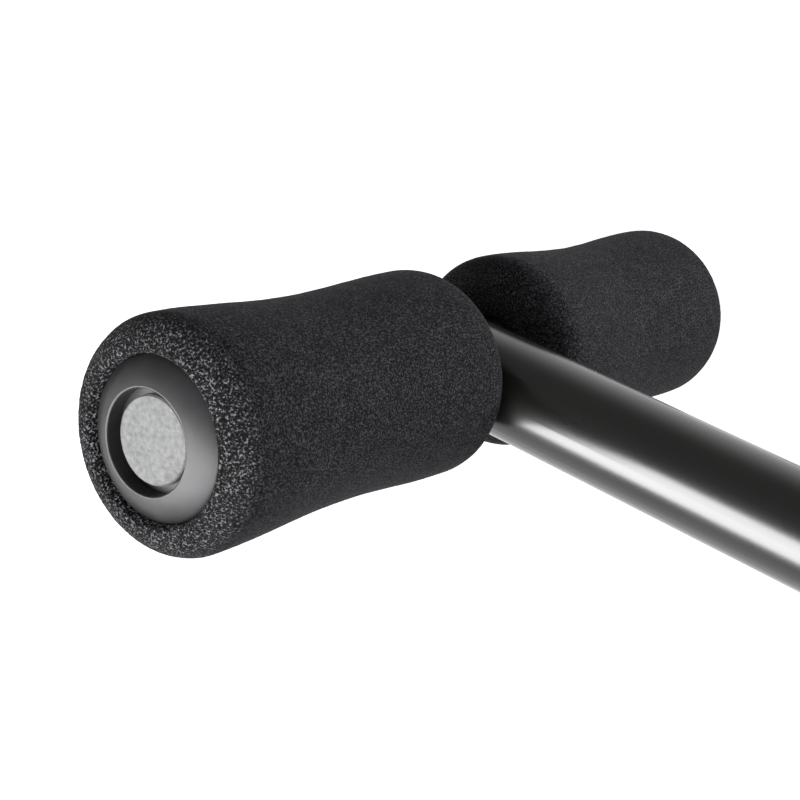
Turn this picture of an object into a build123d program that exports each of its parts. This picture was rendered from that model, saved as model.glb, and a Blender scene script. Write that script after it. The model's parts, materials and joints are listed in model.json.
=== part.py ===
from build123d import *
import os
import math

os.makedirs("parts", exist_ok=True)

# Doorway leverage pull up bar, all lengths in millimetres.
# X is to the right, -Y is towards the person using it, +Z is up.
# The origin is the centre of the flat underside of the rear rubber seat strip,
# which stands on the top edge of the door casing on the far side of the wall.

WELD = 0.05            # gap left between two welded or bonded faces

# wall, casings and reach
WALL_REACH = 150.0     # far casing seat centre to the near casing's face
FOAM_R = 38.0          # foam roller, largest radius (3 in across)
UP_X = 350.0           # uprights, left and right of centre
UP_Y = -(WALL_REACH + FOAM_R)
AXLE_Z = -390.0        # roller axle below the seat

# upright tube, 1 1/2 in
UP_R, UP_WALL = 19.05, 1.5
FOOT_DROP = 23.0       # tube end below the axle
FOOT_Z = AXLE_Z - FOOT_DROP
BEND_R = 100.0
ARM_Z = 60.0
ARM_REACH = 199.0      # bar in front of the uprights
ARM_OVER = 25.0        # arm end past the bar's centre line
BAR_Y = UP_Y - ARM_REACH
ARM_END_Y = BAR_Y - ARM_OVER
PLUG_T, FOOT_STEM, ARM_STEM = 3.0, 8.0, 6.5

# roller axle tube, 7/8 in, and its plugs
AX_R, AX_WALL = 11.1, 1.5
HEAD_R, HEAD_T = AX_R + 2.9, 2.4
HEAD_STEM = 16.0
HEAD_TOP = 1.4         # head's face below the foam end plane

# foam roller: waist, end rounding along and across the axle, and the lip round the cap
FOAM_GAP = 0.35        # foam end to upright
FOAM_L = 143.0
WAIST = 2.4
CORNER_A, CORNER_B = 10.8, 13.2
LIP_W, LIP_DROP = 2.2, 3.2
FOAM_IN = UP_R + FOAM_GAP
FOAM_OUT = FOAM_IN + FOAM_L

# roller end cap and tube side bush
RUN = 0.08             # running clearance on the axle, radial
BEAR_R = AX_R + RUN
MOUTH_R = HEAD_R + 2.4
MOUTH_UP = 1.5         # mouth edge proud of the foam end plane
CAP_R = MOUTH_R + 9.5
CAP_RIM = 3.25         # rim edge below the foam end plane
CAP_EDGE = 1.95        # rim thickness
FLOOR = 4.0            # recess floor below the foam end plane
SPIGOT_R, SPIGOT_L = BEAR_R + 3.82, 40.0
HUB_R, HUB_S = SPIGOT_R + 3.0, 9.0
BUSH_IN = 3.8          # bush face below the foam end plane
SEAT = CAP_RIM + CAP_EDGE

# pull up bar, 1 1/4 in
BAR_R, BAR_WALL = 15.9, 1.6
BAR_STRAIGHT = UP_X + 45.0
BAR_BEND_R = 60.0
BAR_DROP = 25.0        # degrees the ends slope down
BAR_TAIL = 118.0
BAR_STEM = 14.0        # end plug inside the bar
GRIP_T = 5.1           # foam grip wall
GRIP_ROUND = 3.0
GRIP_BACK = 1.0        # outer grips end this far before the tube does
WIDE_L, CLOSE_L, CLOSE_X = 112.0, 116.0, 92.0

# neutral handles, 1 in
HAN_X, HAN_R, HAN_WALL = 180.0, 12.7, 1.5
HAN_L = 150.0
HAN_END_Y = BAR_Y - HAN_L
HAN_GRIP_T, HAN_GRIP_L, HAN_GRIP_ROUND = 4.8, 118.0, 2.5
HAN_PLUG_T, HAN_STEM = 2.6, 12.0

# cross brace, tabs, hook arms and their bolts
BR_R, BR_WALL, BR_Z = 12.7, 1.5, -95.0
TAB_X = 217.4          # inner face of the tab
PL = 5.0               # plate thickness
PL_H = 30.0            # plate height where tab and arm meet
PL_GAP = 0.1
TAB_H = 36.0           # tab height where it is threaded on the brace
TAB_EDGE, TAB_PAST = 4.3, 14.0     # tab in front of the brace tube, and past the last bolt
ARM_PAST = 16.0        # hook arm past the first bolt
ARM_X = TAB_X + PL + PL_GAP
BOLT_R, BOLT_HOLE, BOLT_AF, BOLT_HEAD, NUT_H = 4.0, 4.25, 13.0, 5.3, 6.5
WASH_R, WASH_T = 8.0, 1.6
BOLT_OUT = 4.0         # thread showing beyond the nut
BOLT_Y = (UP_Y + 36.0, UP_Y + 60.0)

# rear hook bar and seat strip
STRIP_T, STRIP_L = 4.0, 600.0
HB_W, HB_H, HB_WALL, HB_L = 40.0, 20.0, 2.0, 640.0
HB_Z0 = STRIP_T + WELD
HB_Z1 = HB_Z0 + HB_H
HB_ROUND, STRIP_ROUND = 3.0, 4.0
HB_PLUG_T, HB_STEM, HB_STEM_GAP = 3.0, 12.0, 0.6
HOOK_W, HOOK_OVER = 32.0, 12.0     # hook plate behind and above the bar
HOOK_FINGER = 28.0     # hook plate's reach over the bar from its rear face

# weld beads: length along the joining tube and height over it
AXLE_WELD = (2.6, 2.35)
BAR_WELD = (3.5, 2.7)
HAN_WELD = (3.0, 2.6)
BRACE_WELD = (3.3, 2.8)
TAB_WELD = 2.6
HOOK_WELD = 3.0


def rod(axis, r, a, b, at=(0, 0)):
    """Solid cylinder along an axis from a to b; at gives the other two coordinates in XYZ order."""
    h = b - a
    if axis == "X":
        pl = Plane(origin=(a, at[0], at[1]), x_dir=(0, 1, 0), z_dir=(1, 0, 0))
    elif axis == "Y":
        pl = Plane(origin=(at[0], a, at[1]), x_dir=(1, 0, 0), z_dir=(0, 1, 0))
    else:
        pl = Plane(origin=(at[0], at[1], a), x_dir=(1, 0, 0), z_dir=(0, 0, 1))
    return extrude(pl * Circle(r), h)


def pipe(axis, ro, ri, a, b, at=(0, 0)):
    return rod(axis, ro, a, b, at) - rod(axis, ri, a - 1, b + 1, at)


def box(x0, x1, y0, y1, z0, z1):
    return Pos((x0 + x1) / 2, (y0 + y1) / 2, (z0 + z1) / 2) * Box(x1 - x0, y1 - y0, z1 - z0)


def mirrored(p):
    return mirror(p, about=Plane.YZ)


def save(name, shape):
    shape.label = name
    export_step(shape, os.path.join("parts", name + ".step"))


def pair(name, shape):
    save("right_" + name, shape)
    save("left_" + name, mirrored(shape))


def group(*shapes):
    solids = []
    for s in shapes:
        solids += list(s.solids())
    return Compound(children=solids)


# uprights: straight leg, one forward bend, level arm
def upright_path():
    z0 = ARM_Z - BEND_R
    leg = Line((UP_X, UP_Y, FOOT_Z), (UP_X, UP_Y, z0))
    q = BEND_R * (1 - math.sqrt(0.5))
    bend = ThreePointArc((UP_X, UP_Y, z0), (UP_X, UP_Y - q, z0 + BEND_R * math.sqrt(0.5)),
                         (UP_X, UP_Y - BEND_R, ARM_Z))
    arm = Line((UP_X, UP_Y - BEND_R, ARM_Z), (UP_X, ARM_END_Y, ARM_Z))
    return Wire([leg, bend, arm])


def swept(path, start, direction, r):
    pl = Plane(origin=start, z_dir=direction)
    return sweep(pl * Circle(r), path=path)


up_path = upright_path()
up = swept(up_path, (UP_X, UP_Y, FOOT_Z), (0, 0, 1), UP_R)
up -= swept(up_path, (UP_X, UP_Y, FOOT_Z), (0, 0, 1), UP_R - UP_WALL)
up -= rod("X", AX_R + WELD, UP_X - 30, UP_X + 30, (UP_Y, AXLE_Z))
up -= rod("X", BAR_R + WELD, UP_X - 30, UP_X + 30, (BAR_Y, ARM_Z))
pair("upright", up)

# dome head plugs in the two open ends of each upright tube
def dome_plug(r, ri, head, stem):
    """Plug along +X: stem reaches back from s=0, head stands proud of s=0."""
    sk = make_face([
        Polyline((-stem, 0), (-stem, ri - 1.0), (-stem + 1.5, ri - 0.1), (0, ri - 0.1), (0, r), (head * 0.45, r)),
        ThreePointArc((head * 0.45, r), (head * 0.86, r - head * 0.42), (head, r - head * 1.2)),
        Polyline((head, r - head * 1.2), (head, 0), (-stem, 0)),
    ])
    return revolve(sk, axis=Axis.X)


foot = Pos(UP_X, UP_Y, FOOT_Z - WELD) * (Rot(0, 90, 0) * dome_plug(UP_R, UP_R - UP_WALL, PLUG_T, FOOT_STEM))
pair("foot_plug", foot)
armp = Pos(UP_X, ARM_END_Y - WELD, ARM_Z) * (Rot(0, 0, -90) * dome_plug(UP_R, UP_R - UP_WALL, PLUG_T, ARM_STEM))
pair("arm_plug", armp)

# roller axles, plugs and weld collars
AX_HALF = FOAM_OUT - HEAD_TOP - HEAD_T - WELD
pair("axle", pipe("X", AX_R, AX_R - AX_WALL, UP_X - AX_HALF, UP_X + AX_HALF, (UP_Y, AXLE_Z)))

STEM_R = AX_R - AX_WALL - 0.1
head_face = make_face([Polyline((-HEAD_STEM, 0), (-HEAD_STEM, STEM_R - 0.9), (-HEAD_STEM + 1.5, STEM_R), (0, STEM_R), (0, HEAD_R),
                                (HEAD_T - 0.5, HEAD_R), (HEAD_T, HEAD_R - 0.5), (HEAD_T, 0), (-HEAD_STEM, 0))])
axle_plug = Pos(AX_HALF + WELD, 0, 0) * revolve(head_face, axis=Axis.X)
pair("outer_axle_plug", Pos(UP_X, UP_Y, AXLE_Z) * axle_plug)
pair("inner_axle_plug", Pos(UP_X, UP_Y, AXLE_Z) * mirrored(axle_plug))

leg_cut = rod("Z", UP_R + WELD, FOOT_Z, ARM_Z, (UP_X, UP_Y))
arm_cut = rod("Y", UP_R + WELD, ARM_END_Y, UP_Y, (UP_X, ARM_Z))


def collar(r_in, tube_r, leg, up):
    """Fillet weld along +X round a tube of radius r_in, where it leaves another tube of radius tube_r."""
    reach = tube_r + leg
    f = make_face([Polyline((0, r_in + WELD), (reach, r_in + WELD), (reach, r_in + 0.6), (tube_r + 0.55, r_in + up),
                            (0, r_in + up), (0, r_in + WELD))])
    return revolve(f, axis=Axis.X)


axle_weld = collar(AX_R, UP_R, *AXLE_WELD)
axle_welds = [Pos(UP_X, UP_Y, AXLE_Z) * w - leg_cut for w in (axle_weld, mirrored(axle_weld))]
save("axle_welds", group(*(axle_welds + [mirrored(w) for w in axle_welds])))
bar_weld = collar(BAR_R, UP_R, *BAR_WELD)
bar_welds = [Pos(UP_X, BAR_Y, ARM_Z) * w - arm_cut for w in (bar_weld, mirrored(bar_weld))]
save("bar_welds", group(*(bar_welds + [mirrored(w) for w in bar_welds])))


# rollers: foam sleeve with a waist, a domed cap in the free end and a plain bush in the tube side end
def foam_face():
    """Half section, s along the axle from the middle; the cap end is at +s and the tube side end at -s."""
    h = FOAM_L / 2
    sm = h - CORNER_A
    waist_r = FOAM_R - WAIST
    n = 12
    side = []
    for i in range(-n, n + 1):
        s = sm * i / n
        side.append((s, waist_r + WAIST * (0.5 * (1 - math.cos(math.pi * abs(s) / sm))) ** 1.07))
    rc = FOAM_R - CORNER_B
    lip_r = CAP_R + LIP_W
    turn_to = math.degrees(math.asin((lip_r - rc) / CORNER_B))

    def rounding(turn):
        return (sm + CORNER_A * math.cos(math.radians(turn)), rc + CORNER_B * math.sin(math.radians(turn)))

    corner = [rounding(90 - (90 - turn_to) * k / 8) for k in range(9)]
    other = [(-s, r) for s, r in reversed([rounding(90 - 90 * k / 8) for k in range(9)])]
    seat_r = CAP_R + 0.3
    k = 1 - math.sqrt(0.5)
    lip = (h - LIP_DROP, seat_r)
    mid = (corner[-1][0] - (LIP_DROP - (h - corner[-1][0])) * k, seat_r + (lip_r - seat_r) * k)
    bore = SPIGOT_R + WELD
    hub = HUB_R + WELD
    seat = h - SEAT - WELD
    hubs = h - HUB_S - WELD
    edges = [
        Spline(side, tangents=[(1, 0), (1, 0)]),
        Spline(corner, tangents=[(1, 0), (0.25, -1)]),
        ThreePointArc(corner[-1], mid, lip),
        Polyline(lip, (seat, seat_r), (seat, hub), (hubs, hub), (hubs, bore), (1 - h, bore), (-h, bore + 1),
                 (-h, rc)),
        Spline(other, tangents=[(0, 1), (1, 0)]),
    ]
    return make_face(edges)


def cap_face():
    """Half section, s outwards from the foam end plane: low dome, round mouth, recess and bearing spigot."""
    rim = (-CAP_RIM - 0.35, CAP_R)
    crown = (MOUTH_UP - 0.1, MOUTH_R + 0.9)
    rise, width = crown[0] - rim[0], rim[1] - crown[1]
    length = math.hypot(rise, width)
    bulge = 0.55
    mid = ((rim[0] + crown[0]) / 2 + bulge * width / length, (rim[1] + crown[1]) / 2 + bulge * rise / length)
    return make_face([
        Polyline((-SEAT, CAP_R - 0.3), (-SEAT + 0.3, CAP_R), rim),
        ThreePointArc(rim, mid, crown),
        ThreePointArc(crown, (MOUTH_UP - 0.04, MOUTH_R + 0.35), (MOUTH_UP - 0.45, MOUTH_R)),
        Polyline((MOUTH_UP - 0.45, MOUTH_R), (-FLOOR, MOUTH_R), (-FLOOR, BEAR_R), (-SPIGOT_L, BEAR_R),
                 (-SPIGOT_L, SPIGOT_R - 0.8), (-SPIGOT_L + 1.5, SPIGOT_R), (-HUB_S, SPIGOT_R), (-HUB_S, HUB_R),
                 (-SEAT, HUB_R), (-SEAT, CAP_R - 0.3)),
    ])


def bush_face():
    """Half section of the plain bearing bush, s outwards from the foam end plane."""
    return make_face([Polyline((-SPIGOT_L, BEAR_R), (-BUSH_IN, BEAR_R), (-BUSH_IN, SPIGOT_R - 0.4),
                               (-BUSH_IN - 0.4, SPIGOT_R), (-SPIGOT_L + 1.5, SPIGOT_R), (-SPIGOT_L, SPIGOT_R - 0.8),
                               (-SPIGOT_L, BEAR_R))])


foam = revolve(foam_face(), axis=Axis.X)
cap = Pos(FOAM_L / 2, 0, 0) * revolve(cap_face(), axis=Axis.X)
bush = mirrored(Pos(FOAM_L / 2, 0, 0) * revolve(bush_face(), axis=Axis.X))
roller_mid = (FOAM_IN + FOAM_OUT) / 2
for piece_name, piece in (("foam_roller", foam), ("roller_end_cap", cap), ("roller_tube_bush", bush)):
    pair("outer_" + piece_name, Pos(UP_X + roller_mid, UP_Y, AXLE_Z) * piece)
    pair("inner_" + piece_name, Pos(UP_X - roller_mid, UP_Y, AXLE_Z) * mirrored(piece))


# pull up bar: straight middle, ends sloping down
def bar_path():
    a = math.radians(BAR_DROP)
    x1, z1 = BAR_STRAIGHT, ARM_Z
    x2 = x1 + BAR_BEND_R * math.sin(a)
    z2 = z1 - BAR_BEND_R * (1 - math.cos(a))
    x3 = x2 + BAR_TAIL * math.cos(a)
    z3 = z2 - BAR_TAIL * math.sin(a)
    xm = x1 + BAR_BEND_R * math.sin(a / 2)
    zm = z1 - BAR_BEND_R * (1 - math.cos(a / 2))
    return (x1, z1), (xm, zm), (x2, z2), (x3, z3)


(bx1, bz1), (bxm, bzm), (bx2, bz2), (bx3, bz3) = bar_path()
bar_wire = Wire([
    Line((-bx3, BAR_Y, bz3), (-bx2, BAR_Y, bz2)),
    ThreePointArc((-bx2, BAR_Y, bz2), (-bxm, BAR_Y, bzm), (-bx1, BAR_Y, bz1)),
    Line((-bx1, BAR_Y, bz1), (bx1, BAR_Y, bz1)),
    ThreePointArc((bx1, BAR_Y, bz1), (bxm, BAR_Y, bzm), (bx2, BAR_Y, bz2)),
    Line((bx2, BAR_Y, bz2), (bx3, BAR_Y, bz3)),
])
d0 = (bx3 - bx2, 0, bz2 - bz3)
bar = swept(bar_wire, (-bx3, BAR_Y, bz3), d0, BAR_R) - swept(bar_wire, (-bx3, BAR_Y, bz3), d0, BAR_R - BAR_WALL)
save("pull_up_bar", bar)


def on_tail(p, s):
    """Moves a shape drawn along +X so that its x=0 is s mm past the bar's right end, along the sloping tail."""
    ang = math.degrees(math.atan2(bz2 - bz3, bx3 - bx2))
    c, d = math.cos(math.radians(ang)), math.sin(math.radians(ang))
    return Pos(bx3 + s * c, BAR_Y, bz3 - s * d) * (Rot(0, ang, 0) * p)


pair("bar_plug", on_tail(dome_plug(BAR_R, BAR_R - BAR_WALL, PLUG_T, BAR_STEM), WELD))


def grip_face(r, ri, length, rnd=GRIP_ROUND):
    """Half section of a foam grip, rnd the rounding of its two ends."""
    h = length / 2
    k = rnd * (1 - math.sqrt(0.5))
    return make_face([
        Polyline((-h, ri), (h, ri), (h, r - rnd)),
        ThreePointArc((h, r - rnd), (h - k, r - k), (h - rnd, r)),
        Line((h - rnd, r), (-h + rnd, r)),
        ThreePointArc((-h + rnd, r), (-h + k, r - k), (-h, r - rnd)),
        Line((-h, r - rnd), (-h, ri)),
    ])


wide = revolve(grip_face(BAR_R + GRIP_T, BAR_R + WELD, WIDE_L), axis=Axis.X)
pair("wide_grip", on_tail(wide, -WIDE_L / 2 - GRIP_BACK))
close = revolve(grip_face(BAR_R + GRIP_T, BAR_R + WELD, CLOSE_L), axis=Axis.X)
pair("close_grip", Pos(CLOSE_X, BAR_Y, ARM_Z) * close)

# neutral handles, coped to the bar and welded
bar_cut = rod("X", BAR_R + WELD, 0, UP_X, (BAR_Y, ARM_Z))
handle = pipe("Y", HAN_R, HAN_R - HAN_WALL, HAN_END_Y, BAR_Y, (HAN_X, ARM_Z)) - bar_cut
pair("neutral_handle", handle)
hgrip = revolve(grip_face(HAN_R + HAN_GRIP_T, HAN_R + WELD, HAN_GRIP_L, HAN_GRIP_ROUND), axis=Axis.X)
pair("neutral_grip", Pos(HAN_X, HAN_END_Y + HAN_GRIP_L / 2 + GRIP_BACK, ARM_Z) * (Rot(0, 0, 90) * hgrip))
han_plug = dome_plug(HAN_R, HAN_R - HAN_WALL, HAN_PLUG_T, HAN_STEM)
pair("neutral_plug", Pos(HAN_X, HAN_END_Y - WELD, ARM_Z) * (Rot(0, 0, -90) * han_plug))
handle_weld = Pos(HAN_X, BAR_Y, ARM_Z) * (Rot(0, 0, -90) * collar(HAN_R, BAR_R, *HAN_WELD)) - bar_cut
save("handle_welds", group(handle_weld, mirrored(handle_weld)))

# cross brace, coped to the uprights, with the hook arm tabs threaded on it
brace = pipe("X", BR_R, BR_R - BR_WALL, -UP_X, UP_X, (UP_Y, BR_Z)) - leg_cut - mirrored(leg_cut)
save("cross_brace", max(brace.solids(), key=lambda s: s.volume))
brace_weld = Pos(UP_X, UP_Y, BR_Z) * mirrored(collar(BR_R, UP_R, *BRACE_WELD)) - leg_cut
tab_weld = pipe("X", BR_R + TAB_WELD, BR_R + WELD, TAB_X - TAB_WELD, TAB_X - WELD, (UP_Y, BR_Z))
save("brace_welds", group(brace_weld, mirrored(brace_weld), tab_weld, mirrored(tab_weld)))


def plate(pts, x0, t, rounds):
    """Flat plate from a YZ outline; rounds maps corner index to radius."""
    f = Plane(origin=(x0, 0, 0), x_dir=(0, 1, 0), z_dir=(1, 0, 0)) * make_face(Polyline(*pts, pts[0]))
    p = extrude(f, t)
    for i, r in rounds.items():
        y, z = pts[i]
        e = [e for e in p.edges() if e.geom_type == GeomType.LINE
             and abs(e.center().Y - y) < 0.01 and abs(e.center().Z - z) < 0.01 and abs(e.length - t) < 0.01]
        p = fillet(e, r)
    return p


holes = [rod("X", BOLT_HOLE, TAB_X - 5, ARM_X + PL + 5, (y, BR_Z)) for y in BOLT_Y]
tab_y0, tab_y1 = UP_Y - BR_R - TAB_EDGE, BOLT_Y[1] + TAB_PAST
tab = plate([(tab_y0, BR_Z - TAB_H / 2), (tab_y1, BR_Z - PL_H / 2), (tab_y1, BR_Z + PL_H / 2), (tab_y0, BR_Z + TAB_H / 2)],
            TAB_X, PL, {0: 12, 1: 8, 2: 8, 3: 12})
tab = tab - rod("X", BR_R + WELD, TAB_X - 5, TAB_X + PL + 5, (UP_Y, BR_Z)) - holes[0] - holes[1]
pair("brace_tab", tab)

hook_y0, hook_y1, hook_top = HB_W / 2 + WELD, HB_W / 2 + HOOK_W, HB_Z1 + HOOK_OVER
arm_y0 = BOLT_Y[0] - ARM_PAST
finger_y = HB_W / 2 - HOOK_FINGER
hook = plate([(arm_y0, BR_Z - PL_H / 2), (hook_y1, BR_Z - PL_H / 2), (hook_y1, hook_top), (finger_y, hook_top),
              (finger_y, HB_Z1 + WELD), (hook_y0, HB_Z1 + WELD), (hook_y0, BR_Z + PL_H / 2), (arm_y0, BR_Z + PL_H / 2)],
             ARM_X, PL, {0: 8, 1: 30, 2: 14, 3: 5, 6: 10, 7: 8})
hook = hook - holes[0] - holes[1]
pair("hook_arm", hook)

# hook bar, its plugs, seat strip and welds
hb = box(-HB_L / 2, HB_L / 2, -HB_W / 2, HB_W / 2, HB_Z0, HB_Z1)
hb = fillet(hb.edges().filter_by(Axis.X), HB_ROUND)
hbi = box(-HB_L / 2 - 1, HB_L / 2 + 1, -HB_W / 2 + HB_WALL, HB_W / 2 - HB_WALL, HB_Z0 + HB_WALL, HB_Z1 - HB_WALL)
hbi = fillet(hbi.edges().filter_by(Axis.X), HB_ROUND - HB_WALL)
save("rear_hook_bar", hb - hbi)
hp = box(HB_L / 2 + WELD, HB_L / 2 + HB_PLUG_T, -HB_W / 2, HB_W / 2, HB_Z0, HB_Z1)
hp = fillet(hp.edges().filter_by(Axis.X), HB_ROUND)
hp = chamfer(hp.faces().sort_by(Axis.X)[-1].edges(), 0.8)
stem_in = HB_WALL + HB_STEM_GAP
hp += box(HB_L / 2 - HB_STEM, HB_L / 2 + 1, -HB_W / 2 + stem_in, HB_W / 2 - stem_in, HB_Z0 + stem_in, HB_Z1 - stem_in)
pair("hook_bar_plug", hp)
strip = box(-STRIP_L / 2, STRIP_L / 2, -HB_W / 2, HB_W / 2, 0, STRIP_T)
strip = fillet(strip.edges().filter_by(Axis.Z), STRIP_ROUND)
save("seat_strip", strip)


def bead_x(x0, sign, y0, y1, z):
    """Three-cornered weld bead along Y, under a plate face x0 and beside a level face at z."""
    f = Plane(origin=(x0, y0, z), x_dir=(1, 0, 0), z_dir=(0, 1, 0))
    corner = Polyline((0, 0), (sign * HOOK_WELD, 0), (0, -HOOK_WELD), (0, 0))
    return extrude(f * make_face(corner), y1 - y0)


beads = [bead_x(ARM_X - WELD, -1, finger_y + 2, HB_W / 2 - 4, HB_Z1 + WELD),
         bead_x(ARM_X + PL + WELD, 1, finger_y + 2, HB_W / 2 - 4, HB_Z1 + WELD)]
save("hook_welds", group(*(beads + [mirrored(b) for b in beads])))


# M8 bolts, washers and nuts through tab and hook arm
def hexa(x0, h, af, y, z):
    """Hexagon of width af across its flats, h long in X from x0."""
    pl = Plane(origin=(x0, y, z), x_dir=(0, 1, 0), z_dir=(1, 0, 0))
    return extrude(pl * RegularPolygon(af / 2, 6, major_radius=False), h)


bolts, washers, nuts = [], [], []
far = ARM_X + PL + WELD
for y in BOLT_Y:
    head = hexa(TAB_X - WASH_T - 2 * WELD - BOLT_HEAD, BOLT_HEAD, BOLT_AF, y, BR_Z)
    bolts.append(head + rod("X", BOLT_R, TAB_X - WASH_T - 1, far + WASH_T + NUT_H + BOLT_OUT, (y, BR_Z)))
    washers.append(pipe("X", WASH_R, BOLT_R + 0.2, TAB_X - WASH_T - WELD, TAB_X - WELD, (y, BR_Z)))
    washers.append(pipe("X", WASH_R, BOLT_R + 0.2, far, far + WASH_T, (y, BR_Z)))
    nut_x = far + WASH_T + WELD
    nuts.append(hexa(nut_x, NUT_H, BOLT_AF, y, BR_Z) - rod("X", BOLT_R + 0.04, ARM_X, nut_x + 30, (y, BR_Z)))
save("hook_bolts", group(*(bolts + [mirrored(b) for b in bolts])))
save("hook_washers", group(*(washers + [mirrored(b) for b in washers])))
save("hook_nuts", group(*(nuts + [mirrored(b) for b in nuts])))
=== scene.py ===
import json
import math

import bmesh
import bpy
from mathutils import Matrix, Vector, noise


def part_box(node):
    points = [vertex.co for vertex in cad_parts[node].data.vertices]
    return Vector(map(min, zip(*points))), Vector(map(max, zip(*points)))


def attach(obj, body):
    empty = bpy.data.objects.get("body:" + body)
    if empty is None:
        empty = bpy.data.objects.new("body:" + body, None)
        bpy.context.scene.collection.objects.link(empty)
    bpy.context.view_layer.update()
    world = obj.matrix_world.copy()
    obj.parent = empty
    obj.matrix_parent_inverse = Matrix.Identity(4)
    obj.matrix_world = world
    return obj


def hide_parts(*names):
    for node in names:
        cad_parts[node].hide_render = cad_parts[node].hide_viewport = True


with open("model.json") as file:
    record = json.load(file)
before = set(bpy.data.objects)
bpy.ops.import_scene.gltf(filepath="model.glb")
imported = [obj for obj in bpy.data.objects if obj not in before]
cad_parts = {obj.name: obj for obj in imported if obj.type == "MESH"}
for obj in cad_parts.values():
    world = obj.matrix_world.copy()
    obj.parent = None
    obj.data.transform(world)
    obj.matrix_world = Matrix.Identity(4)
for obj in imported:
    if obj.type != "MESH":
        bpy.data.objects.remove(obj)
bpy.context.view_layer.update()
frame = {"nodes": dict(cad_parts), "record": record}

MM = 0.001


# ---------------------------------------------------------------- places, read from the frame

def middle(node):
    """Centre of a CAD node's box."""
    low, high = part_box(node)
    return (low + high) / 2


AXLE = middle("right_axle")          # where the right-hand axle crosses its upright
FLOOR_DROP = 1.7                     # a doorway's floor, below the roller axles
FLOOR_HALF = 30.0                    # half the studio floor's side


# ---------------------------------------------------------------- small helpers

def srgb(code, alpha=1.0):
    """sRGB hex colour to linear RGBA."""
    parts = [int(code[i:i + 2], 16) / 255 for i in (1, 3, 5)]
    linear = [c / 12.92 if c <= 0.04045 else ((c + 0.055) / 1.055) ** 2.4 for c in parts]
    return (*linear, alpha)


def add(tree, kind, settings=None, links=None):
    """Adds a node to a tree, sets its properties and sockets, and links other nodes' outputs into it."""
    node = tree.nodes.new(kind)
    for key, value in (settings or {}).items():
        if isinstance(key, str) and hasattr(node, key):
            setattr(node, key, value)
        else:
            node.inputs[key].default_value = value
    for key, output in (links or {}).items():
        tree.links.new(output, node.inputs[key])
    return node


def new_material(name):
    """An empty node material, its tree, its shader and object coordinates in millimetres."""
    mat = bpy.data.materials.new(name)
    mat.use_nodes = True
    tree = mat.node_tree
    tree.nodes.clear()
    shader = add(tree, "ShaderNodeBsdfPrincipled")
    add(tree, "ShaderNodeOutputMaterial", links={"Surface": shader.outputs["BSDF"]})
    coords = add(tree, "ShaderNodeTexCoord")
    scale = add(tree, "ShaderNodeVectorMath", {"operation": "SCALE", "Scale": 1 / MM},
                {0: coords.outputs["Object"]})
    return mat, tree, shader, scale.outputs["Vector"]


def ramp(tree, fac, stops):
    """A colour ramp with (place, hex colour) stops."""
    node = add(tree, "ShaderNodeValToRGB", links={"Fac": fac})
    elements = node.color_ramp.elements
    while len(elements) < len(stops):
        elements.new(0.5)
    for element, (place, code) in zip(elements, stops):
        element.position = place
        element.color = srgb(code)
    return node.outputs["Color"]


# ---------------------------------------------------------------- materials

def powder_coat():
    # polyester powder coat baked on steel tube: semi-gloss black, mirroring softly, with slight orange peel
    mat, tree, shader, mm = new_material("black_powder_coat")
    shader.inputs["IOR"].default_value = 1.5
    peel = add(tree, "ShaderNodeTexNoise", {"Scale": 1 / 2.2, "Detail": 2.0}, {"Vector": mm})
    bump = add(tree, "ShaderNodeBump", {"Strength": 0.05, "Distance": 0.1 * MM}, {"Height": peel.outputs["Fac"]})
    tone = add(tree, "ShaderNodeTexNoise", {"Scale": 1 / 45, "Detail": 3.0}, {"Vector": mm})
    colour = ramp(tree, tone.outputs["Fac"], [(0.35, "#0d0c0b"), (0.65, "#12110f")])
    rough = add(tree, "ShaderNodeMapRange", {"To Min": 0.23, "To Max": 0.29}, {"Value": tone.outputs["Fac"]})
    tree.links.new(colour, shader.inputs["Base Color"])
    tree.links.new(rough.outputs["Result"], shader.inputs["Roughness"])
    tree.links.new(bump.outputs["Normal"], shader.inputs["Normal"])
    return mat


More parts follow.
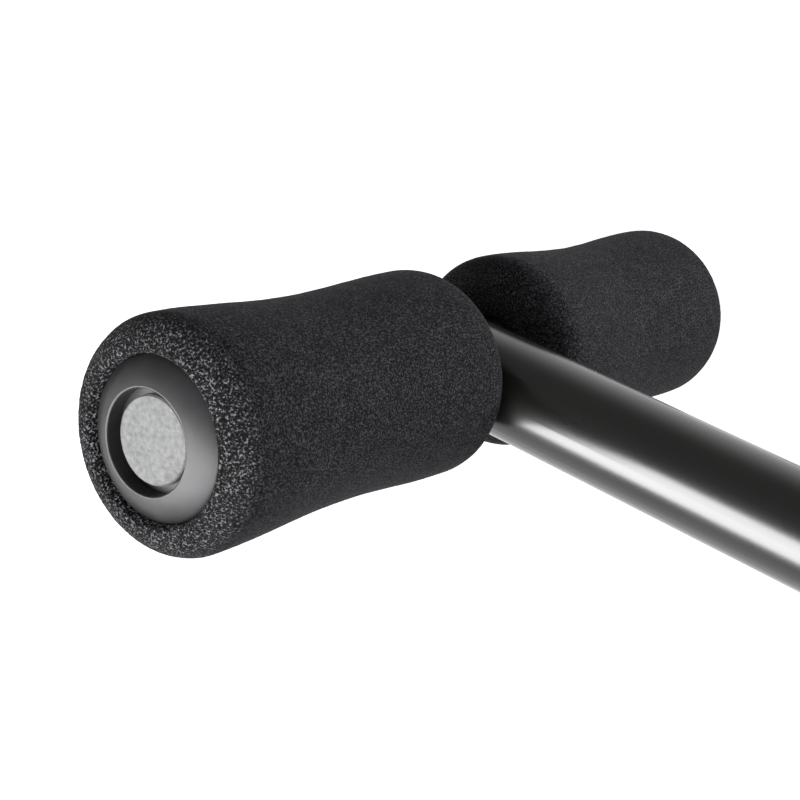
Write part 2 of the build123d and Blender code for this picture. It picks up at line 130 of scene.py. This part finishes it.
def foam(name, cell, glint_colour, depth):
    # closed-cell rubber foam, moulded and then ground at the ends: its skin is matt and finely speckled. Where the
    # skin is ground away the colour holds painted glints, light flecks for cell walls catching the light, and painted
    # shade, dark flecks for the pits; a cell is cell mm wide and its relief depth mm
    mat, tree, shader, mm = new_material(name)
    shader.inputs["IOR"].default_value = 1.4
    shader.inputs["Specular IOR Level"].default_value = 0.05
    shader.inputs["Roughness"].default_value = 0.75
    cells = add(tree, "ShaderNodeTexVoronoi", {"feature": "DISTANCE_TO_EDGE", "Scale": 1 / cell}, {"Vector": mm})
    grain = add(tree, "ShaderNodeTexNoise", {"Scale": 1 / (cell * 0.8), "Detail": 3.0, "Roughness": 0.7},
                {"Vector": mm})
    fine = add(tree, "ShaderNodeTexNoise", {"Scale": 1 / (cell * 0.7), "Detail": 1.5, "Roughness": 0.8},
               {"Vector": mm})
    blotch = add(tree, "ShaderNodeTexNoise", {"Scale": 1 / 6.0, "Detail": 4.0, "Roughness": 0.6}, {"Vector": mm})
    ground = add(tree, "ShaderNodeAttribute", {"attribute_name": "ground"})
    skin = add(tree, "ShaderNodeMix", {"data_type": "RGBA", "blend_type": "MULTIPLY", 0: 1.0},
               {6: ramp(tree, fine.outputs["Fac"], [(0.38, "#050505"), (0.5, "#161618"), (0.64, "#414044")]),
                7: ramp(tree, blotch.outputs["Fac"], [(0.35, "#dad8dc"), (0.65, "#ffffff")])})
    # painted glints and painted shade: the light stop stands for cell walls catching the light, the near-black stop
    # for shade in the pits; the ground mask below puts them on the ground ends
    painted_glint_and_pit_shade = ramp(tree, grain.outputs["Fac"], [(0.41, "#020202"), (0.54, "#222123"), (0.68, glint_colour)])
    mix = add(tree, "ShaderNodeMix", {"data_type": "RGBA"},
              {0: ground.outputs["Fac"], 6: skin.outputs[2], 7: painted_glint_and_pit_shade})
    tree.links.new(mix.outputs[2], shader.inputs["Base Color"])
    pits = add(tree, "ShaderNodeMath", {"operation": "ADD"},
               {0: cells.outputs["Distance"], 1: grain.outputs["Fac"]})
    strength = add(tree, "ShaderNodeMapRange", {"To Min": 0.3, "To Max": 1.0}, {"Value": ground.outputs["Fac"]})
    bump = add(tree, "ShaderNodeBump", {"Distance": depth * MM},
               {"Height": pits.outputs[0], "Strength": strength.outputs["Result"]})
    tree.links.new(bump.outputs["Normal"], shader.inputs["Normal"])
    return mat


def cap_plastic():
    # injection-moulded polyethylene cap: satin black that goes grey where it mirrors the light, clouded by flow marks
    mat, tree, shader, mm = new_material("satin_moulded_cap")
    shader.inputs["IOR"].default_value = 1.5
    shader.inputs["Specular IOR Level"].default_value = 0.2
    grain = add(tree, "ShaderNodeTexNoise", {"Scale": 1 / 0.6, "Detail": 2.0}, {"Vector": mm})
    cloud = add(tree, "ShaderNodeTexNoise", {"Scale": 1 / 9.0, "Detail": 3.0}, {"Vector": mm})
    colour = ramp(tree, cloud.outputs["Fac"], [(0.35, "#272728"), (0.65, "#303032")])
    rough = add(tree, "ShaderNodeMapRange", {"To Min": 0.38, "To Max": 0.48}, {"Value": cloud.outputs["Fac"]})
    bump = add(tree, "ShaderNodeBump", {"Strength": 0.12, "Distance": 0.08 * MM}, {"Height": grain.outputs["Fac"]})
    tree.links.new(colour, shader.inputs["Base Color"])
    tree.links.new(rough.outputs["Result"], shader.inputs["Roughness"])
    tree.links.new(bump.outputs["Normal"], shader.inputs["Normal"])
    return mat


def axle_plug_plastic():
    # unpainted nylon plug: matt light grey, slightly mottled by flow in the mould
    mat, tree, shader, mm = new_material("grey_nylon_plug")
    shader.inputs["IOR"].default_value = 1.5
    shader.inputs["Specular IOR Level"].default_value = 0.12
    shader.inputs["Roughness"].default_value = 0.6
    mottle = add(tree, "ShaderNodeTexNoise", {"Scale": 1 / 1.6, "Detail": 4.0, "Roughness": 0.6}, {"Vector": mm})
    colour = ramp(tree, mottle.outputs["Fac"], [(0.34, "#8a8b8c"), (0.66, "#b9b9ba")])
    bump = add(tree, "ShaderNodeBump", {"Strength": 0.2, "Distance": 0.1 * MM}, {"Height": mottle.outputs["Fac"]})
    tree.links.new(colour, shader.inputs["Base Color"])
    tree.links.new(bump.outputs["Normal"], shader.inputs["Normal"])
    return mat


def textured_black(name, light, dark, rough, grain_mm):
    # black plastic or rubber moulded in a spark-eroded tool: an even, dull, finely pebbled black
    mat, tree, shader, mm = new_material(name)
    shader.inputs["Roughness"].default_value = rough
    grain = add(tree, "ShaderNodeTexNoise", {"Scale": 1 / grain_mm, "Detail": 3.0}, {"Vector": mm})
    colour = ramp(tree, grain.outputs["Fac"], [(0.35, dark), (0.65, light)])
    bump = add(tree, "ShaderNodeBump", {"Strength": 0.4, "Distance": 0.12 * MM}, {"Height": grain.outputs["Fac"]})
    tree.links.new(colour, shader.inputs["Base Color"])
    tree.links.new(bump.outputs["Normal"], shader.inputs["Normal"])
    return mat


def zinc_plate():
    # bright zinc plate on steel fasteners: pale metal with a faint grey bloom
    mat, tree, shader, mm = new_material("zinc_plate")
    shader.inputs["Metallic"].default_value = 1.0
    bloom = add(tree, "ShaderNodeTexNoise", {"Scale": 1 / 3.0, "Detail": 4.0}, {"Vector": mm})
    colour = ramp(tree, bloom.outputs["Fac"], [(0.35, "#b9bcbf"), (0.65, "#cfd1d2")])
    rough = add(tree, "ShaderNodeMapRange", {"To Min": 0.26, "To Max": 0.42}, {"Value": bloom.outputs["Fac"]})
    tree.links.new(colour, shader.inputs["Base Color"])
    tree.links.new(rough.outputs["Result"], shader.inputs["Roughness"])
    return mat


# the third argument is the colour of the foam's painted glints
ROLLER_FOAM = foam("ground_roller_foam", 0.95, "#d2d1d6", 0.6)
GRIP_FOAM = foam("fine_grip_foam", 0.7, "#6a696d", 0.35)
SLOT_MATERIAL = {
    "black_powder_coat": powder_coat(),
    "cap_plastic": cap_plastic(),
    "axle_plug_plastic": axle_plug_plastic(),
    "plug_plastic": textured_black("textured_tube_plug", "#1f1f20", "#151515", 0.55, 0.5),
    "seat_rubber": textured_black("matt_seat_rubber", "#1b1a1a", "#101010", 0.8, 0.7),
    "zinc_steel": zinc_plate(),
    "roller_foam": ROLLER_FOAM,
    "grip_foam": GRIP_FOAM,
}

for part in frame["record"]["subparts"]:
    mesh = frame["nodes"][part["node"]].data
    mesh.materials.clear()
    mesh.materials.append(SLOT_MATERIAL[part["material_slot"]])


# ---------------------------------------------------------------- foam rollers

# the roller's section, as on the CAD sleeve, in millimetres: the cap is at +s and the bush at -s
FOAM_HALF = 71.5                     # half the sleeve's length
WAIST = 2.4                          # the middle's drop below the ends
CORNER_A, CORNER_B = 10.8, 13.2      # end rounding along and across the axle
CAP_R = 25.9
LIP_W, LIP_DROP = 2.2, 3.2           # foam lip round the cap: its width, and its edge below the end plane
SEAT_GAP = 0.3                       # foam clear of the cap's rim
SEAT, HUB = 5.25, 9.05               # cap's seat and hub, below the end plane
HUB_R, BORE_R = 18.05, 15.05
AROUND, GRIP_AROUND = 220, 110       # points round a roller and round a grip
ROLLER_GRIT, GRIP_GRIT = 0.22, 0.08  # relief of the foam's skin


def roller_section(half, radius):
    """Points (s, r, ground) round the closed section; ground is 1 where the end is ground to shape."""
    side_end = half - CORNER_A
    centre_r = radius - CORNER_B
    points = []
    side_steps = 84
    for i in range(-side_steps, side_steps + 1):
        s = side_end * i / side_steps
        swell = (0.5 * (1 - math.cos(math.pi * abs(s) / side_end))) ** 1.07
        points.append((s, radius - WAIST * (1 - swell), 0))

    def rounding(turn_to, steps):
        """The corner from the side down to an angle; the grinding starts a little way round it."""
        arc = []
        for i in range(1, steps + 1):
            turn = math.pi / 2 + (turn_to - math.pi / 2) * i / steps
            arc.append((side_end + CORNER_A * math.cos(turn), centre_r + CORNER_B * math.sin(turn),
                        max(0.0, min(1.0, 1.8 * i / steps - 0.25))))
        return arc

    seat_r, lip_r = CAP_R + SEAT_GAP, CAP_R + LIP_W
    corner = rounding(math.asin((lip_r - centre_r) / CORNER_B), 16)
    drop = LIP_DROP - (half - corner[-1][0])
    lip = []
    for i in range(1, 6):
        turn = math.pi / 2 * i / 5
        lip.append((half - LIP_DROP + drop * math.cos(turn), lip_r - (lip_r - seat_r) * math.sin(turn), 1.0))
    inside = [(half - SEAT, seat_r, 0.6), (half - SEAT, HUB_R, 0), (half - HUB, HUB_R, 0), (half - HUB, BORE_R, 0),
              (1 - half, BORE_R, 0), (-half, BORE_R + 1, 0.1), (-half, (BORE_R + centre_r) / 2, 0.1)]
    tube_side = [(-s, r, 0.1 * g) for s, r, g in reversed(rounding(0, 18))]
    return points + corner + lip + inside + tube_side


def lathe(name, section, around, skin_r, grit, seed):
    """Mesh turned about X from a closed section, with grit millimetres of relief on what lies outside skin_r.

    The relief is fine grain and a slow waviness. On the ground end it stands partly along the axle.
    """
    mesh = bpy.data.meshes.new(name)
    bm = bmesh.new()
    ground = bm.verts.layers.float.new("ground")
    rings = []
    shift = Vector((seed * 13.7, seed * 5.1, seed * 9.3))
    for s, r, g in section:
        ring = []
        for k in range(around):
            turn = 2 * math.pi * k / around
            p = Vector((s, r * math.cos(turn), r * math.sin(turn)))
            relief = 0.0
            if r > skin_r:
                relief = grit * (0.35 + g) * noise.noise(p * 0.9 + shift) + 0.12 * noise.noise(p * 0.09 + shift)
            out = Vector((0.0, math.cos(turn), math.sin(turn)))
            if g >= 0.95 and s > 0:
                out = (out + Vector((1.2, 0, 0))).normalized()
            vert = bm.verts.new((p + out * relief) * MM)
            vert[ground] = g
            ring.append(vert)
        rings.append(ring)
    for a, b in zip(rings, rings[1:] + rings[:1]):
        for k in range(around):
            n = (k + 1) % around
            face = bm.faces.new((a[k], b[k], b[n], a[n]))
            face.smooth = True
    bmesh.ops.recalc_face_normals(bm, faces=bm.faces)
    bm.to_mesh(mesh)
    bm.free()
    return mesh


def place(name, mesh, material, spot, turn, body):
    """Puts a mesh in the row frame as a piece that rides on a body."""
    mesh.materials.append(material)
    mesh.transform(Matrix.Translation(spot) @ turn)
    piece = bpy.data.objects.new(name, mesh)
    bpy.context.scene.collection.objects.link(piece)
    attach(piece, body)
    return piece


def tube_side_x(name):
    """X of the foam end plane that faces the upright."""
    low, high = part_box(name + "_foam_roller")
    upright = middle(name.split("_")[0] + "_axle").x
    return low.x if low.x > upright else high.x


def foam_rollers():
    for index, name in enumerate(("right_outer", "right_inner", "left_outer", "left_inner")):
        node = name + "_foam_roller"
        low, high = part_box(node)
        radius = (high.z - low.z) / 2 / MM
        section = roller_section(FOAM_HALF, radius)
        mesh = lathe(name + "_foam_sleeve", section, AROUND, CAP_R, ROLLER_GRIT, index + 1)
        upright_x = AXLE.x if name.startswith("right") else -AXLE.x
        cap_to_right = (low.x + high.x) / 2 > upright_x
        turn = Matrix.Identity(4) if cap_to_right else Matrix.Rotation(math.pi, 4, "Z")
        offset = (FOAM_HALF if cap_to_right else -FOAM_HALF) * MM
        spot = Vector((tube_side_x(name) + offset, AXLE.y, AXLE.z))
        piece = place(name + "_foam_sleeve", mesh, ROLLER_FOAM, spot, turn, name + "_roller")
        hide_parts(node)


# foam grips in millimetres: length, radius and bore
GRIPS = {"wide": (112.0, 21.0, 15.95), "close": (116.0, 21.0, 15.95), "neutral": (118.0, 17.5, 12.75)}
BAR_DROP = 25                        # degrees that the bar's ends slope down
GRIP_ROUND, GRIP_CROWN = 3.0, 0.25   # end rounding and barrel swell


def grip_section(half, radius, bore):
    """Closed section of a foam grip: rounded ends and a soft barrel."""
    points = [(-half, bore, 0.8), (-half, radius - GRIP_ROUND, 1.0)]
    for i in range(1, 7):
        turn = math.pi / 2 * i / 6
        points.append((-half + GRIP_ROUND * (1 - math.cos(turn)), radius - GRIP_ROUND * (1 - math.sin(turn)), 0.7))
    end = [(-s, r, g) for s, r, g in reversed(points)]
    steps = 60
    for i in range(1, steps):
        s = (-half + GRIP_ROUND) + 2 * (half - GRIP_ROUND) * i / steps
        points.append((s, radius + GRIP_CROWN * math.cos(math.pi * s / (2 * half)), 0.15))
    return points + end


def foam_grips():
    for index, (name, (length, radius, bore)) in enumerate(GRIPS.items()):
        for side, sign in (("right", 1), ("left", -1)):
            node = f"{side}_{name}_grip"
            turn = Matrix.Identity(4)
            if name == "wide":
                turn = Matrix.Rotation(math.radians(BAR_DROP * sign), 4, "Y")
            if name == "neutral":
                turn = Matrix.Rotation(math.radians(90), 4, "Z")
            section = grip_section(length / 2, radius, bore)
            seed = 7 + index * 2 + sign
            mesh = lathe(node + "_sleeve", section, GRIP_AROUND, radius - 1.5, GRIP_GRIT, seed)
            piece = place(node + "_sleeve", mesh, GRIP_FOAM, middle(node), turn, "frame")
            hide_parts(node)


foam_rollers()
foam_grips()


# ---------------------------------------------------------------- floor, light and camera

def stage_floor():
    mesh = bpy.data.meshes.new("studio_floor")
    far, z = FLOOR_HALF, AXLE.z - FLOOR_DROP
    corners = [(-far, -far, z), (far, -far, z), (far, far, z), (-far, far, z)]
    mesh.from_pydata(corners, [], [(0, 1, 2, 3)])
    mat, _, shader, _ = new_material("pale_studio_floor")
    shader.inputs["Base Color"].default_value = srgb("#f6f6f6")
    shader.inputs["Roughness"].default_value = 0.9
    shader.inputs["Emission Color"].default_value = (1, 1, 1, 1)
    shader.inputs["Emission Strength"].default_value = 0.9
    mesh.materials.append(mat)
    floor = bpy.data.objects.new("studio_floor", mesh)
    bpy.context.scene.collection.objects.link(floor)
    floor.visible_glossy = False
    floor.visible_diffuse = False


def softbox(name, spot, target, width, height, power):
    light = bpy.data.lights.new(name, "AREA")
    light.shape = "RECTANGLE"
    light.size = width
    light.size_y = height
    light.energy = power
    lamp = bpy.data.objects.new(name, light)
    bpy.context.scene.collection.objects.link(lamp)
    lamp.location = spot
    lamp.rotation_euler = (Vector(target) - Vector(spot)).to_track_quat("-Z", "Y").to_euler()
    lamp.visible_camera = False
    return lamp


def studio_world():
    """A white studio, dark on the side the camera stands, so tubes keep a dark middle and pale rims.

    Matt surfaces get little of it, because the soft boxes light them. Seen directly it is white, like the floor.
    """
    world = bpy.data.worlds.new("studio")
    bpy.context.scene.world = world
    bpy.context.scene.view_settings.view_transform = "Standard"
    world.use_nodes = True
    tree = world.node_tree
    tree.nodes.clear()
    coords = add(tree, "ShaderNodeTexCoord")
    facing = add(tree, "ShaderNodeVectorMath", {"operation": "DOT_PRODUCT", 1: (-0.88, 0.47, 0.0)},
                 {0: coords.outputs["Generated"]})
    level = add(tree, "ShaderNodeMapRange",
                {"interpolation_type": "SMOOTHSTEP", "From Min": -0.55, "From Max": 0.35,
                 "To Min": 0.37, "To Max": 1.65},
                {"Value": facing.outputs["Value"]})
    ray = add(tree, "ShaderNodeLightPath")
    height = add(tree, "ShaderNodeSeparateXYZ", links={"Vector": coords.outputs["Generated"]})
    matt = add(tree, "ShaderNodeMapRange", {"From Min": -0.7, "From Max": 0.4, "To Min": 0.012, "To Max": 0.13},
               {"Value": height.outputs["Z"]})
    soften = add(tree, "ShaderNodeMix", {"data_type": "FLOAT", 2: 1.0},
                 {0: ray.outputs["Is Diffuse Ray"], 3: matt.outputs["Result"]})
    strength = add(tree, "ShaderNodeMath", {"operation": "MULTIPLY"},
                   {0: level.outputs["Result"], 1: soften.outputs[0]})
    seen = add(tree, "ShaderNodeMix", {"data_type": "FLOAT", 3: 1.0},
               {0: ray.outputs["Is Camera Ray"], 2: strength.outputs[0]})
    back = add(tree, "ShaderNodeBackground", {"Color": (1, 1, 1, 1)}, {"Strength": seen.outputs[0]})
    add(tree, "ShaderNodeOutputWorld", links={"Surface": back.outputs["Background"]})


def lights():
    """Soft boxes. The tall strip is two lamps: one for matt surfaces and a brighter one that only gloss mirrors."""
    azimuth = math.radians(24)
    aim = AXLE + Vector((0, 0, -0.1))
    for name, far, rise, power, gloss in (("strip_box", 1.0, 0.6, 11, False), ("strip_gleam", 0.95, 0, 90, True)):
        spot = aim + Vector((far * math.cos(azimuth), far * math.sin(azimuth), rise))
        strip = softbox(name, spot, aim, 0.74, 1.7, power)
        strip.visible_diffuse = not gloss
        strip.visible_glossy = gloss
    far_roller = AXLE + Vector((-0.1, 0, 0))
    softbox("side_box", AXLE + Vector((-0.87, -0.79, 0.96)), far_roller, 0.7, 0.7, 38)
    front = softbox("front_box", AXLE + Vector((0.8, -0.7, 0.2)), AXLE, 0.6, 0.6, 2.6)
    front.visible_glossy = False
    softbox("top_box", AXLE + Vector((-0.4, -0.4, 1.9)), AXLE + Vector((-0.4, 0, 0)), 1.4, 1.4, 6)


def camera():
    """A close view along the right-hand roller pair, from its free end; the tube runs out at the lower right."""
    lens = bpy.data.cameras.new("view")
    lens.lens = 68.2
    lens.sensor_width = 36.0
    lens.clip_start = 0.01
    eye = bpy.data.objects.new("view", lens)
    bpy.context.scene.collection.objects.link(eye)
    right = Vector((-0.592, -0.2311, 0.7721)).normalized()
    back = Vector((0.7886, -0.364, 0.4956)).normalized()
    up = back.cross(right).normalized()
    right = up.cross(back).normalized()
    turn = Matrix((right, up, back)).transposed().to_4x4()
    eye.matrix_world = Matrix.Translation(AXLE + Vector((0.4707, -0.1920, 0.2753))) @ turn
    bpy.context.scene.camera = eye


stage_floor()
studio_world()
lights()
camera()
